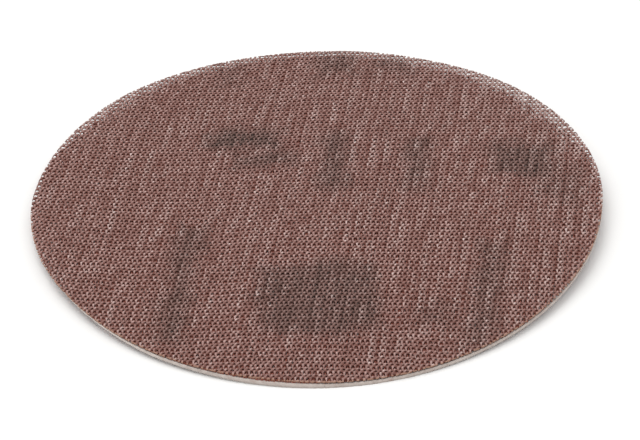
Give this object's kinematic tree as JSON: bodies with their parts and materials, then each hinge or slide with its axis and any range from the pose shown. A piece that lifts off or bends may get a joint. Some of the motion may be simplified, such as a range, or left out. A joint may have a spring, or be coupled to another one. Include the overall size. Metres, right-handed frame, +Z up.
{
  "type": "sanding disc",
  "caption": "Round net abrasive disc: a thin, open, grain-coated knitted net with a pile of fine loops on its back that grips a hook-faced sanding pad.",
  "frame": {"origin": "on the table under the middle of the disc, level with the front and back rims that touch it", "axes": "+Z up through the thickness, abrasive side up; +X right and +Y away from the viewer; the disc is curled like part of a wide cone, straight along a line 5.51 degrees from +X, and its right side is lifted 0.73 degrees as it comes to rest"},
  "size_m": [0.15, 0.15, 0.0054],
  "materials": {
    "abrasive_net": "knitted net coated with brown resin and fine grain",
    "loop_pile": "fine pale nylon loops"
  },
  "bodies": {
    "root": {"abrasive_net": "abrasive_net", "loop_backing": "loop_pile"}
  },
  "joints": []
}
